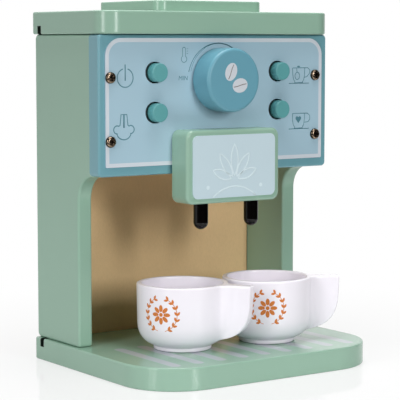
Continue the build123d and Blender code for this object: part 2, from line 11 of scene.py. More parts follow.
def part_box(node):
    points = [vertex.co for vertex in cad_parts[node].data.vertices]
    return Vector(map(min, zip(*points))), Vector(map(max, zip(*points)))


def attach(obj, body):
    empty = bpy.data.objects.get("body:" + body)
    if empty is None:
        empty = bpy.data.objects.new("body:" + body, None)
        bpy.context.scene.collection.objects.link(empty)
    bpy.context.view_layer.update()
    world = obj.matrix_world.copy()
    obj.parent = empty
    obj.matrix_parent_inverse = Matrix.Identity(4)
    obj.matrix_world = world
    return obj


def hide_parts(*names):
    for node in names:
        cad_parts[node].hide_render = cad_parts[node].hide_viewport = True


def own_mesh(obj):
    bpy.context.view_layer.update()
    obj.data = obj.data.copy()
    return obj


bl_info = {
    "name": "Wooden Toy Coffee Maker",
    "version": (1, 0, 0),
    "blender": (4, 5, 0),
    "location": "View3D > Sidebar > Coffee Maker",
    "description": "Paints, prints, springs and cups for a wooden toy coffee maker",
    "category": "Object",
}

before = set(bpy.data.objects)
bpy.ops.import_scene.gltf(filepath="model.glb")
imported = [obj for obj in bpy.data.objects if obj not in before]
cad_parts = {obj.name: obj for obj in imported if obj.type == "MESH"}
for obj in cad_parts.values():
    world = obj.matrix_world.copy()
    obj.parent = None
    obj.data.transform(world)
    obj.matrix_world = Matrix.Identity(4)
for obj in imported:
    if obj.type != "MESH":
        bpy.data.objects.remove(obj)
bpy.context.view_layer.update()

MM = 0.001
BUTTON_NAMES = ("power", "steam", "tea", "coffee")
# Each cup's axis in millimetres, the way its handle points and the way its badge faces, in degrees from +X.
CUP_PLACES = {"left": (-32.5, -16.0, -57.0, -151.7), "right": (31.4, -24.0, -31.0, -126.0)}
# Heights in millimetres on a cup's side between which the round belly of its handle grows.
BELLY_LOW, BELLY_HIGH = 6.7, 25.0
# The rings of a cup's handle, as shares of the way out from the wall to its tip.
HANDLE_RINGS = (0.14, 0.3, 0.5, 0.72, 0.9, 1.0)
# Each printed bean's middle across and up, its two half-sizes in millimetres, and its turn in degrees.
BEANS = ((-2.55, 197.4, 6.1, 4.6, 66.0), (4.7, 188.4, 6.1, 4.7, 11.3))
# Each softbox's azimuth and elevation in degrees, its share of the lamp distance, and its width and height
# in metres.
SOFTBOXES = {
    "left": (-163, 16, 1.0, 0.35, 0.75),
    "front": (-87, 15, 1.0, 0.25, 0.5),
    "rear": (55, 38, 1.0, 0.7, 0.7),
    "top": (-110, 85, 0.7, 0.6, 0.6),
}
LAMP_TARGET = Vector((0, 0, 0.11))
SENSOR_WIDTH = 36  # millimetres
# The near black of the painted shade in the lines between boards, and in the gaps beside the buttons.
JOINT_SHADE = (0.01, 0.03, 0.025)
GAP_SHADE = (0.002, 0.002, 0.003)
PLATE_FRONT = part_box("control_plate")[0].y
KNOB_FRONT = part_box("control_knob")[0].y
HEAD_PLATE_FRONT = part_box("head_plate")[0].y
BASE_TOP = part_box("base_board")[1].z
TOP_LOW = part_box("top_board")[0].z


def paint(red, green, blue):
    """A paint-card colour, 0 to 255 a channel, as the linear colour that Blender's sockets hold."""
    card = (red / 255, green / 255, blue / 255)
    return tuple(c / 12.92 if c <= 0.04045 else ((c + 0.055) / 1.055) ** 2.4 for c in card)


def colour(name, description, red, green, blue):
    """A colour property, its default as on a paint card."""
    card = paint(red, green, blue)
    return bpy.props.FloatVectorProperty(
        name=name, description=description, subtype="COLOR", size=3, min=0, max=1, default=card
    )


def length(name, description, millimetres):
    """A length property, its default in millimetres."""
    return bpy.props.FloatProperty(
        name=name, description=description, subtype="DISTANCE", unit="LENGTH", default=millimetres * MM
    )


def angle(name, description, degrees):
    """An angle property, its default in degrees."""
    return bpy.props.FloatProperty(
        name=name, description=description, subtype="ANGLE", unit="ROTATION", default=math.radians(degrees)
    )


def power(name, description, watts):
    """A lamp's power property, its default in watts."""
    return bpy.props.FloatProperty(
        name=name, description=description, subtype="POWER", unit="POWER", default=watts
    )


class CoffeePaints(bpy.types.PropertyGroup):
    """The colours of the boards, prints and cups."""

    green: colour("Green", "Satin paint of the boards", 151, 186, 166)
    teal: colour("Teal", "Satin paint of the front board", 117, 168, 179)
    blue: colour("Light blue", "Printed face of the control plate", 169, 200, 215)
    border: colour("Border", "White border of the control plate", 213, 220, 228)
    pale: colour("Pale blue", "Face of the plate on the dispenser head", 200, 220, 228)
    buttons: colour("Buttons", "Satin paint of the push buttons", 94, 164, 166)
    knob: colour("Knob", "Satin paint of the control knob", 104, 162, 180)
    stripes: colour("Stripes", "Pale stripes printed on the base", 186, 192, 200)
    board: colour("Fibreboard", "Bare back panel", 236, 202, 154)
    wood: colour("Wood", "Dowels, shaft and inner floor", 214, 184, 144)
    cup: colour("Cup", "White of the cups", 252, 247, 255)
    badge: colour("Badge", "Printed flower on the cups", 215, 124, 48)
    ink: colour("Ink", "Pictograms and scale of the control plate", 84, 134, 148)
    beans: colour("Beans", "Printed coffee beans on the knob", 210, 215, 221)
    seams: colour("Seams", "Curved seams of the coffee beans", 115, 105, 98)
    ornament: colour("Ornament", "Leaves on the dispenser head's plate", 219, 236, 242)
    spouts: colour("Spouts", "Gloss black of the spouts", 7, 5, 5)
    bronze: colour("Bronze", "Antique bronze of the plate's screws", 156, 136, 116)
    zinc: colour("Zinc", "Plated steel of springs and hidden screws", 196, 199, 204)
    moulding: colour("Moulding", "Dark grey brackets", 72, 75, 78)


class CoffeePrints(bpy.types.PropertyGroup):
    """Sizes of what is printed on the plates, knob and base."""

    border_width: length("Border width", "Width of the control plate's white border", 2.6)
    border_corner: length("Border corner", "Radius of the control plate's upper corners", 11.5)
    # Painted shade: a near black disc a little left of each button stands for the shade in its gap.
    gap_shade_radius: length("Gap radius", "Radius of the dark gap that shows beside each button", 7.05)
    gap_shade_shift: length("Gap shift", "How far the dark gaps sit to the left of the buttons' axes", 1.0)
    film: length("Ink film", "Height of a print above the face that carries it", 0.03)
    fine: length("Fine line", "Line width of the cup pictograms and the scale", 0.5)
    bold: length("Bold line", "Line width of the power and steam pictograms", 0.72)
    stripe_pitch: length("Stripe pitch", "Distance between the base's stripes", 17.6)
    stripe_width: length("Stripe width", "Width of one stripe on the base", 7.4)
    stripe_near: length("Stripe front", "Front ends of the stripes, along Y", -67.0)
    stripe_far: length("Stripe back", "Back ends of the stripes, along Y", 5.0)
    lettering: length("Lettering", "Height of the words at the scale's ends", 3.0)


class CoffeeSprings(bpy.types.PropertyGroup):
    """Sizes of the coil springs behind the buttons."""

    coil_radius: length("Coil radius", "From a spring's axis to the middle of its wire", 4.6)
    wire_radius: length("Wire radius", "Half the thickness of the wire", 0.4)
    turns: bpy.props.FloatProperty(name="Turns", description="Turns of the open coil", default=4.0)
    travel: length("Travel", "How far a button goes in", 4.0)


class CoffeeCups(bpy.types.PropertyGroup):
    """Sizes of the two cups."""

    rim_radius: length("Rim radius", "Outside radius of a cup at its rim", 30.5)
    height: length("Height", "From the base board to the rim", 44.0)
    wall: length("Wall", "Thickness of the wall", 3.4)
    handle_reach: length("Handle reach", "From the cup's axis to the handle's tip", 49.3)
    handle_low: length("Handle low", "Height of the handle's lower edge", 8.4)
    handle_width: length("Handle width", "Thickness of the handle's wing", 8.0)
    handle_belly: length("Handle belly", "Radius of the round under the handle's tip", 18.5)
    handle_taper: length("Handle taper", "How far the wing's outer edge leans in towards its foot", 1.7)
    badge_height: length("Badge height", "From the base board to the middle of a cup's badge", 26.5)


class CoffeeStudio(bpy.types.PropertyGroup):
    """The camera, the lamps and the floor."""

    camera_place: bpy.props.FloatVectorProperty(
        name="Camera place",
        description="Where the camera stands",
        subtype="XYZ",
        unit="LENGTH",
        size=3,
        default=(-0.62830, -0.89467, 0.21644),
    )
    camera_yaw: angle("Camera yaw", "How far the camera turns to the right of straight ahead", 34.767)
    camera_pitch: angle("Camera pitch", "How far the camera looks down", 5.5414)
    camera_lens: bpy.props.FloatProperty(
        name="Lens",
        description="Focal length in millimetres on a 36 mm sensor",
        subtype="DISTANCE_CAMERA",
        unit="CAMERA",
        default=145.845,
    )
    lamp_distance: length("Lamp distance", "From the object's middle to a lamp", 1300)
    left_power: power("Left lamp", "Power of the left softbox", 6.8)
    front_power: power("Front lamp", "Power of the front softbox", 7.3)
    rear_power: power("Rear lamp", "Power of the softbox behind and to the right", 2.6)
    top_power: power("Top lamp", "Power of the overhead softbox", 7.2)
    floor_radius: length("Floor radius", "Radius of the pale table top that the object stands on", 400)
    floor_glow: bpy.props.FloatProperty(
        name="Floor glow",
        description="Strength of the white that the camera sees on the floor",
        subtype="FACTOR",
        min=0,
        max=1,
        default=0.68,
    )


class Signal:
    """One output of a node. An expression on signals and numbers adds the Math nodes that work it out."""

    def __init__(self, nodes, socket):
        self.nodes = nodes
        self.socket = socket

    def maths(self, operation, *others):
        """A Math node whose first value is this signal."""
        return self.nodes.maths(operation, self, *others)

    def __add__(self, other):
        return self.maths("ADD", other)

    def __radd__(self, other):
        return self.nodes.maths("ADD", other, self)

    def __sub__(self, other):
        return self.maths("SUBTRACT", other)

    def __rsub__(self, other):
        return self.nodes.maths("SUBTRACT", other, self)

    def __mul__(self, other):
        return self.maths("MULTIPLY", other)

    def __rmul__(self, other):
        return self.nodes.maths("MULTIPLY", other, self)

    def __abs__(self):
        return self.maths("ABSOLUTE")


class Nodes:
    """Adds nodes to one tree."""

    def __init__(self, tree):
        self.tree = tree

    def add(self, kind, settings=None, inputs=None, output=0):
        """A new node with its settings, then its sockets' values or links; gives one of its outputs."""
        node = self.tree.nodes.new(kind)
        for name, value in (settings or {}).items():
            setattr(node, name, value)
        for name, value in (inputs or {}).items():
            self.feed(node.inputs[name], value)
        return Signal(self, node.outputs[output]) if node.outputs else None

    def feed(self, socket, value):
        """Links a signal to a socket, or sets the socket's own value."""
        if isinstance(value, Signal):
            self.tree.links.new(value.socket, socket)
        else:
            socket.default_value = value

    def maths(self, operation, *values):
        """One Math node; its values are signals or numbers."""
        return self.add("ShaderNodeMath", {"operation": operation}, dict(enumerate(values)))

    def axes(self, vector):
        """The X, Y and Z parts of a vector."""
        first = self.add("ShaderNodeSeparateXYZ", inputs={0: vector})
        return [Signal(self, socket) for socket in first.socket.node.outputs]

    def reach(self, across, up):
        """The distance that two signals at right angles make together."""
        return self.maths("SQRT", across * across + up * up)

    def ramp(self, value, low, high):
        """A smooth change from 0 at low to 1 at high; it falls where low is above high."""
        limits = {"Value": value, "From Min": low, "From Max": high}
        return self.add("ShaderNodeMapRange", {"interpolation_type": "SMOOTHSTEP"}, limits)

    def mix(self, factor, first, second):
        """The first colour where the factor is 0, the second where it is 1."""
        colours = {0: factor, 6: dyed(first), 7: dyed(second)}
        return self.add("ShaderNodeMix", {"data_type": "RGBA"}, colours, output=2)

    def rays(self):
        """Two signals: 1 for rays from the camera, and 1 for rays that left a shiny or clear surface."""
        eye = self.add("ShaderNodeLightPath", output="Is Camera Ray")
        outputs = eye.socket.node.outputs
        glossy = Signal(self, outputs["Is Glossy Ray"])
        through = Signal(self, outputs["Is Transmission Ray"])
        return eye, self.maths("MAXIMUM", glossy, through)


def dyed(value):
    """A colour with the fourth channel that colour sockets want; a signal is left as it is."""
    return value if isinstance(value, Signal) else (*value, 1)


def shaded(colour_value, share):
    """A colour made darker, or with a share above 1 lighter."""
    return tuple(min(1, c * share) for c in colour_value)


class Finish(Nodes):
    """One material; where is the surface's point, in metres in the frame that every object shares."""

    def __init__(self, name, **constants):
        self.material = bpy.data.materials.new(name)
        self.material.use_nodes = True
        super().__init__(self.material.node_tree)
        self.shader = self.tree.nodes["Principled BSDF"]
        self.where = self.add("ShaderNodeTexCoord", output="Object")
        for socket, value in constants.items():
            self.shader.inputs[socket.replace("_", " ")].default_value = value

    def noise(self, scale, detail=2.0, roughness=0.5, stretch=None):
        """Even noise around 0.5, scale lumps to the metre; a stretch below 1 draws it out along its axis."""
        where = self.where
        if stretch:
            where = self.add("ShaderNodeMapping", inputs={"Vector": where, "Scale": stretch})
        settings = {"Vector": where, "Scale": scale, "Detail": detail, "Roughness": roughness}
        return self.add("ShaderNodeTexNoise", inputs=settings)

    def tint(self, factor, tone, dark, light):
        """One tone, from a darker share of it where the factor is 0 to a lighter one where it is 1."""
        return self.mix(factor, shaded(tone, dark), shaded(tone, light))

    def point(self):
        """The X, Y and Z of the surface's point."""
        return self.axes(self.where)

    def complete(self, tone, roughness, relief=None, height=0.0):
        """Feeds the shader its colour and roughness, and a relief of a height; gives the material."""
        self.feed(self.shader.inputs["Base Color"], tone)
        self.feed(self.shader.inputs["Roughness"], roughness)
        if relief:
            bump = {"Height": relief, "Distance": height, "Strength": 1.0}
            self.feed(self.shader.inputs["Normal"], self.add("ShaderNodeBump", inputs=bump))
        return self.material


# Patterns in the paint, and the finishes.


def groove_shade(finish):
    """A mask for painted shade: 1 inside the groove that holds the back panel."""
    low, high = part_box("back_panel")
    full, gone = 0.35 * MM, 0.5 * MM  # how far from the panel's faces the shade begins to fade, and ends
    shade = 1.0
    for along, axis in zip(finish.point()[1:], (1, 2)):
        half = (high[axis] - low[axis]) / 2
        off = abs(along - (high[axis] + low[axis]) / 2)
        shade = shade * finish.ramp(off, half + gone, half + full)
    return shade


def satin_paint(name, tone, roughness=0.24, pattern=None, shade_groove=False):
    """Sprayed satin paint on board: slightly uneven in tone and gloss, with a fine orange peel; where asked,
    painted shade in the back panel's groove.
    """
    finish = Finish(name, Specular_IOR_Level=0.5)
    cloud = finish.noise(scale=14.0, detail=3.0)
    mottle_and_shade = finish.tint(cloud, tone, 0.965, 1.035)
    # A pattern can add print and painted shade to the mottled paint.
    if pattern:
        mottle_and_shade = pattern(finish, mottle_and_shade)
    # Painted shade: the groove that holds the back panel is painted near black.
    if shade_groove:
        mottle_and_shade = finish.mix(groove_shade(finish), mottle_and_shade, shaded(tone, 0.06))
    haze = finish.noise(scale=60.0, detail=3.0)
    peel = finish.noise(scale=900.0)
    return finish.complete(mottle_and_shade, roughness - 0.04 + 0.08 * haze, relief=peel, height=0.03 * MM)


def base_stripes(prints, tone):
    """A pattern of nine soft pale stripes that run front to back on the base's upper face."""
    pitch = prints.stripe_pitch
    half = prints.stripe_width / 2
    soft = 0.9 * MM
    outermost = 4.5 * pitch

    def pattern(finish, paint_colour):
        x, y, z = finish.point()
        across = abs(finish.maths("WRAP", x, pitch / 2, -pitch / 2))
        beyond = finish.maths("MAXIMUM", y - (prints.stripe_far - half), (prints.stripe_near + half) - y)
        beyond = finish.maths("MAXIMUM", beyond, 0.0)
        inside = finish.ramp(finish.reach(across, beyond), half + soft, half - soft)
        counted = finish.ramp(abs(x), outermost + soft, outermost)
        top = finish.ramp(z, BASE_TOP - 0.4 * MM, BASE_TOP - 0.2 * MM)
        speckle = 0.8 + 0.2 * finish.noise(scale=260.0)
        return finish.mix(inside * counted * top * speckle, paint_colour, tone)

    return pattern


def painted_joint_shade(finish, paint_colour):
    """A pattern of painted shade: dark lines along the top board and the base board, on what stands between
    them.
    """
    depth = 0.75
    z = finish.point()[2]
    over = finish.ramp(z, TOP_LOW - 0.7 * MM, TOP_LOW - 0.4 * MM)
    under = finish.ramp(z, BASE_TOP + 0.4 * MM, BASE_TOP + 0.15 * MM)
    return finish.mix(depth * (over + under), paint_colour, JOINT_SHADE)


def plate_face(prints, tone):
    """A pattern of a white border along the control plate's outline, and painted shade for the dark gaps on
    the buttons' left.
    """
    low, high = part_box("control_plate")
    middle = (low + high) / 2
    holes = [sum(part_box(f"{name}_button"), Vector()) / 2 for name in BUTTON_NAMES]
    corner = prints.border_corner
    inner = -prints.border_width
    gap = prints.gap_shade_radius
    soft = 0.08 * MM

    def pattern(finish, paint_colour):
        x, y, z = finish.point()
        side = abs(x - middle.x) - (high.x - low.x) / 2
        round_side = finish.maths("MAXIMUM", side + corner, 0.0)
        round_up = finish.maths("MAXIMUM", z - high.z + corner, 0.0)
        rounded = finish.reach(round_side, round_up) - corner
        edge = finish.maths("MAXIMUM", rounded, low.z - z)
        front = finish.ramp(y, low.y + 0.2 * MM, low.y + 0.1 * MM)
        bordered = finish.mix(finish.ramp(edge, inner - soft, inner + soft) * front, paint_colour, tone)
        # Painted shade: near black discs, shifted left of the buttons, stand for the shade seen in the gaps.
        gaps = 0.0
        for hole in holes:
            off = finish.reach(x - (hole.x - prints.gap_shade_shift), z - hole.z)
            gaps = gaps + finish.ramp(off, gap + soft, gap - soft)
        return finish.mix(gaps, bordered, GAP_SHADE)

    return pattern


def fibreboard(tone):
    """Bare pressed fibreboard: short fibres, faint specks, a dry face and painted shade in the corners where
    it enters the walls.
    """
    wall_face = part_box("right_wall")[0].x
    finish = Finish("bare fibreboard", Specular_IOR_Level=0.25)
    fibres = finish.noise(scale=1400.0, detail=4.0, roughness=0.7, stretch=(1.0, 1.0, 0.35))
    fleck = finish.add("ShaderNodeTexVoronoi", inputs={"Vector": finish.where, "Scale": 700.0})
    tint = finish.tint(finish.noise(scale=30.0, detail=3.0), tone, 0.95, 1.05)
    tint = finish.mix(finish.ramp(fibres, 0.38, 0.68) * 0.18, tint, shaded(tone, 0.72))
    tint = finish.mix(finish.ramp(fleck, 0.16, 0.05) * 0.15, tint, shaded(tone, 1.35))
    # Painted shade: the panel darkens towards the corners where it meets the walls.
    edge = finish.ramp(abs(finish.point()[0]), wall_face - 0.8 * MM, wall_face - 0.2 * MM)
    wall_corner_shade = finish.mix(edge * 0.8, tint, shaded(tone, 0.05))
    return finish.complete(wall_corner_shade, 0.7 + 0.15 * fibres, relief=fibres, height=0.05 * MM)


def bare_wood(tone):
    """Plain beech with a fine grain along its length."""
    finish = Finish("bare beech", Specular_IOR_Level=0.3)
    grain = finish.noise(scale=700.0, detail=4.0, roughness=0.6, stretch=(0.06, 1.0, 1.0))
    pores = finish.noise(scale=2600.0, stretch=(0.1, 1.0, 1.0))
    tint = finish.tint(grain, tone, 0.84, 1.08)
    tint = finish.mix(finish.ramp(pores, 0.62, 0.72) * 0.4, tint, shaded(tone, 0.6))
    return finish.complete(tint, 0.55 + 0.15 * grain, relief=grain, height=0.04 * MM)


def gloss_black(tone):
    """Moulded gloss black, with a faint haze of fine scuffs."""
    finish = Finish("gloss black", Specular_IOR_Level=0.3)
    haze = finish.noise(scale=500.0, detail=3.0)
    waves = finish.noise(scale=120.0)
    tint = finish.tint(haze, tone, 0.8, 1.3)
    return finish.complete(tint, 0.08 + 0.06 * haze, relief=waves, height=0.02 * MM)


def glaze(tone):
    """White glaze on the cups: smooth and glossy, very slightly uneven in tone."""
    finish = Finish("cup glaze", Specular_IOR_Level=0.5)
    cloud = finish.noise(scale=9.0, detail=0.0)
    return finish.complete(finish.tint(cloud, tone, 0.985, 1.0), 0.22 + 0.04 * cloud)


def bronzed(tone):
    """Antique bronze: patina that varies at random from dark to bright metal, and painted shade in the cross
    and round the rim of each screw head.
    """
    screw_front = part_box("plate_screws")[0].y
    finish = Finish("antique bronze", Metallic=1.0)
    patina = finish.noise(scale=900.0, detail=3.0)
    # Painted shade: the deeper parts of each head, its cross and the rim by the plate, are painted near
    # black.
    recess_shade = finish.ramp(finish.point()[1], screw_front + 0.35 * MM, screw_front + 1.1 * MM)
    tint = finish.tint(finish.ramp(patina, 0.35, 0.65), tone, 0.45, 1.5)
    tint = finish.mix(recess_shade, tint, shaded(tone, 0.08))
    return finish.complete(tint, 0.16 + 0.2 * patina, relief=patina, height=0.06 * MM)


def zinc_plated(tone):
    """Zinc-plated steel with faint drawing marks."""
    finish = Finish("zinc plated steel", Metallic=1.0)
    marks = finish.noise(scale=1600.0, detail=3.0, stretch=(1.0, 0.2, 1.0))
    return finish.complete(finish.tint(marks, tone, 0.82, 1.05), 0.28 + 0.16 * marks)


def matt_moulding(tone):
    """Dark moulded plastic with a spark-eroded grain."""
    finish = Finish("matt moulding", Specular_IOR_Level=0.4)
    grain = finish.noise(scale=1500.0)
    tint = finish.tint(finish.noise(scale=50.0), tone, 0.9, 1.1)
    return finish.complete(tint, 0.5 + 0.15 * grain, relief=grain, height=0.05 * MM)


def printed(name, tone, gloss=0.42, spread=0.07):
    """Screen-printed ink: a little uneven in density."""
    finish = Finish(name, Specular_IOR_Level=0.4)
    density = finish.noise(scale=1200.0, detail=3.0)
    return finish.complete(finish.tint(density, tone, 1 - spread, 1 + spread), gloss + 0.1 * density)


# Helpers that finish and place the pieces.


def dress(nodes, material):
    """Gives CAD nodes their finish."""
    for name in nodes:
        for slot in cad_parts[name].material_slots:
            slot.material = material


def finished(name, shape, smooth=False):
    """An object made of a bmesh, which is freed; its faces are shaded smooth on request."""
    if smooth:
        for face in shape.faces:
            face.smooth = True
    data = bpy.data.meshes.new(name)
    shape.to_mesh(data)
    shape.free()
    return bpy.data.objects.new(name, data)


def settle(piece, body, material):
    """Shows a new piece, gives it its finish and makes it ride on its body."""
    piece.data.materials.append(material)
    bpy.context.scene.collection.objects.link(piece)
    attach(piece, body)
    return piece


# What is printed, in millimetres.


def arc(x, z, radius, start, end):
    """Points of an arc about a centre, from one angle in degrees to another."""
    finest = 7.5  # degrees between two points
    steps = max(2, round(abs(end - start) / finest))
    turns = [math.radians(start + (end - start) * step / steps) for step in range(steps + 1)]
    return [(x + radius * math.cos(turn), z + radius * math.sin(turn)) for turn in turns]


def full_turn(steps):
    """Evenly spaced angles round a circle, in radians."""
    return [2 * math.pi * step / steps for step in range(steps)]


def leaf(x, z, span, width, lean):
    """A closed pointed leaf that grows out of a point, at degrees from the right."""
    bulge = width / 2
    radius = (span * span / 4 + bulge * bulge) / (2 * bulge)
    half = math.degrees(math.asin(span / 2 / radius))
    upper = arc(span / 2, bulge - radius, radius, 90 + half, 90 - half)
    lower = arc(span / 2, radius - bulge, radius, 270 + half, 270 - half)
    turn = Matrix.Rotation(math.radians(lean), 2)
    grown = [turn @ Vector(point) for point in upper[:-1] + lower[:-1]]
    return [(x + point.x, z + point.y) for point in grown]


class Drawing:
    """A flat print of lines and filled shapes, in millimetres across and up the face that carries it."""

    def __init__(self, film):
        self.film = film
        self.mesh = bmesh.new()

    def line(self, points, width, closed=False):
        """A drawn line: a curve with a round section, pressed flat."""
        curve = bpy.data.curves.new("line", "CURVE")
        curve.dimensions = "3D"
        curve.bevel_depth = width / 2
        curve.bevel_resolution = 1
        curve.use_fill_caps = True
        spline = curve.splines.new("POLY")
        spline.points.add(len(points) - 1)
        for point, (x, z) in zip(spline.points, points):
            point.co = (x * MM, z * MM, 0, 1)
        spline.use_cyclic_u = closed
        self.press(curve, Matrix.Diagonal((1, 1, 2 * self.film / width, 1)))

    def word(self, text, x, z, height):
        """A word centred on a point, its letters slightly slanted."""
        capitals = 0.72  # the height of a capital letter as a share of the font's size
        letters = bpy.data.curves.new("word", "FONT")
        letters.body = text
        letters.align_x = "CENTER"
        letters.align_y = "CENTER"
        letters.size = height / capitals
        letters.shear = 0.15
        letters.extrude = self.film
        self.press(letters, Matrix.Translation((x * MM, z * MM, 0)))

    def press(self, curve, place):
        """Adds a curve to the drawing as a mesh that a matrix has placed."""
        stamp = bpy.data.objects.new("stamp", curve)
        drawn = bpy.data.meshes.new_from_object(stamp)
        drawn.transform(place)
        self.mesh.from_mesh(drawn)
        bpy.data.objects.remove(stamp)
        bpy.data.curves.remove(curve)
        bpy.data.meshes.remove(drawn)

    def fill(self, points):
        """A filled shape inside an outline."""
        shape = bmesh.new()
        shape.faces.new([shape.verts.new((x * MM, z * MM, -self.film)) for x, z in points])
        self.thicken(shape)

    def oval(self, x, z, across, up, lean=0.0):
        """A filled oval with its two half-sizes, turned by degrees."""
        shape = bmesh.new()
        bmesh.ops.create_circle(shape, cap_ends=True, segments=32, radius=1)
        turned = Matrix.Rotation(math.radians(lean), 4, "Z") @ Matrix.Diagonal((across * MM, up * MM, 1, 1))
        place = Matrix.Translation((x * MM, z * MM, -self.film)) @ turned
        bmesh.ops.transform(shape, matrix=place, verts=shape.verts)
        self.thicken(shape)

    def thicken(self, shape):
        """Adds a flat shape to the drawing, as thick as the film on each side of the face."""
        grown = bmesh.ops.extrude_face_region(shape, geom=shape.faces[:])["geom"]
        corners = [item for item in grown if isinstance(item, bmesh.types.BMVert)]
        bmesh.ops.translate(shape, verts=corners, vec=(0, 0, 2 * self.film))
        bmesh.ops.recalc_face_normals(shape, faces=shape.faces)
        solid = bpy.data.meshes.new("solid")
        shape.to_mesh(solid)
        shape.free()
        self.mesh.from_mesh(solid)
        bpy.data.meshes.remove(solid)

    def piece(self, name, front):
        """The drawing as an object, standing on a face that looks along -Y."""
        stand = Matrix.Translation((0, front, 0)) @ Matrix.Rotation(math.radians(90), 4, "X")
        bmesh.ops.remove_doubles(self.mesh, verts=self.mesh.verts, dist=0.001 * MM)
        bmesh.ops.transform(self.mesh, matrix=stand, verts=self.mesh.verts)
        return finished(name, self.mesh)


def power_sign(drawing, bold):
    """A ring open at its top, with a bar through the gap."""
    x, z, radius, gap = -73.4, 194.0, 6.0, 18
    drawing.line(arc(x, z, radius, 90 + gap, 450 - gap), bold)
    drawing.line([(x, z - 1.8), (x, z + 8.6)], bold * 1.15)


def steam_sign(drawing, bold):
    """A tapered nozzle over a puff of steam."""
    x, top, mouth, puff = -74.5, 170.5, 163.6, 2.6
    left = [(x - 2.2, top), (x - 3.0, mouth), *arc(x - 5.15, mouth - 2.8, puff, 60, 275)]
    right = [*arc(x + 5.15, mouth - 2.8, puff, -95, 120), (x + 3.0, mouth), (x + 2.2, top)]
    drawing.line(left + arc(x, mouth - 3.4, 5.9, 208, 332) + right, bold, closed=True)
    drawing.line([(x, top - 0.1), (x, mouth - 1.6)], bold * 1.5)


def saucer_and_bowl(drawing, x, z, fine):
    """The outline that both cup pictograms share: rim, sides, foot and saucer, from the rim's left end."""
    drawing.line([(x, z), (x + 13.3, z)], fine)
    drawing.line([(x, z), (x + 0.1, z - 4.5), (x + 0.8, z - 7.7), (x + 2.3, z - 10)], fine)
    drawing.line([(x + 10.6, z), (x + 10.5, z - 4.5), (x + 9.9, z - 7.7), (x + 8.5, z - 10)], fine)
    drawing.line([(x + 1.5, z - 10.35), (x + 9.0, z - 10.35)], fine * 1.7)
    drawing.line([(x - 3.2, z - 10.6), (x + 14.4, z - 10.6)], fine)


def tea_sign(drawing, fine):
    """A cup with a tea bag's tag hanging from its rim."""
    x, z = 62.7, 199.2
    saucer_and_bowl(drawing, x, z, fine)
    outside = [(x + 13.3, z), (x + 15.1, z - 1.5), (x + 14.8, z - 3.9)]
    drawing.line([*outside, (x + 12.6, z - 6.0), (x + 10.4, z - 6.6)], fine)
    drawing.line([(x + 3.6, z), (x + 3.8, z - 3.0)], fine)
    tag = [(x + 4.1 + 2.0 * math.cos(turn), z - 5.5 + 2.5 * math.sin(turn)) for turn in full_turn(20)]
    drawing.line(tag, fine, closed=True)
    drawing.oval(x + 5.1, z + 0.9, 1.3, 0.55)


def heart_sign(drawing, fine):
    """A cup with a heart on it."""
    x, z = 62.7, 167.8
    saucer_and_bowl(drawing, x, z, fine)
    bend = arc(x + 11.8, z - 3.0, 3.5, 25, -60)
    drawing.line([(x + 12.2, z), (x + 14.4, z - 0.8), *bend, (x + 10.4, z - 6.2)], fine)
    heart_x, heart_z, lobe, apart = x + 5.2, z - 4.3, 1.28, 1.17
    left = arc(heart_x - apart, heart_z + 1.0, lobe, 215, 25)
    right = arc(heart_x + apart, heart_z + 1.0, lobe, 155, -35)
    drawing.fill([(heart_x, heart_z - 2.5), *left, *right])


def thermometer(drawing, fine):
    """An outlined stem over a bulb, with three short marks beside it."""
    x, bulb_z, top_z, bulb, stem = -27.75, 205.8, 212.3, 2.15, 1.2
    lowest_mark, mark_pitch = 209.5, 1.5
    meet = math.degrees(math.acos(stem / bulb))
    outline = arc(x, top_z, stem, 0, 180) + arc(x, bulb_z, bulb, 180 - meet, 360 + meet)
    drawing.line(outline, fine * 0.85, closed=True)
    for mark in range(3):
        z = lowest_mark + mark_pitch * mark
        drawing.line([(x + 2.0, z), (x + 3.2, z)], fine * 0.6)


def scale(drawing, fine, lettering):
    """The knob's scale: a line that swells over the top, a thin line inside it and a word at either end."""
    x, z, radius = -0.4, 192.0, 24.2
    left_end, right_end, word_reach = 167.5, 12.5, 28.6
    drawing.line(arc(x, z, radius, left_end, right_end), fine)
    drawing.line(arc(x + 0.3, z + 0.5, radius - 0.55, 120, 60), fine * 1.5)
    drawing.line(arc(x + 0.7, z + 0.7, radius - 1.0, left_end, 120), fine * 0.6)
    drawing.line(arc(x - 0.7, z + 0.7, radius - 1.0, 60, right_end), fine * 0.6)
    drawing.word("MIN", -word_reach, z + 1.2, lettering)
    drawing.word("MAX", word_reach, z + 1.2, lettering)


# The springs and the cups.


def coil(name, sizes, low, high, centre):
    """An open coil spring between two heights along Y, its last turns closed."""
    wire = sizes.wire_radius
    steps = 24  # in each turn
    spring = bmesh.new()
    bmesh.ops.create_circle(spring, segments=8, radius=wire)
    start = Matrix.Translation((sizes.coil_radius, low + wire, 0))
    bmesh.ops.transform(spring, matrix=start, verts=spring.verts)
    closed_turn = 2 * wire
    open_rise = high - low - 2 * wire - 2 * closed_turn
    last = spring.edges[:]
    for turns, rise in ((1, closed_turn), (sizes.turns, open_rise), (1, closed_turn)):
        grown = bmesh.ops.spin(
            spring,
            geom=last,
            axis=(0, 1, 0),
            cent=(0, 0, 0),
            dvec=(0, rise / turns / steps, 0),
            angle=2 * math.pi * turns,
            steps=round(turns * steps),
            use_merge=False,
            use_duplicate=False,
        )["geom_last"]
        last = [item for item in grown if isinstance(item, bmesh.types.BMEdge)]
    bmesh.ops.holes_fill(spring, edges=[edge for edge in spring.edges if edge.is_boundary])
    bmesh.ops.recalc_face_normals(spring, faces=spring.faces)
    bmesh.ops.translate(spring, verts=spring.verts, vec=(centre.x, 0, centre.z))
    return finished(name, spring, smooth=True)


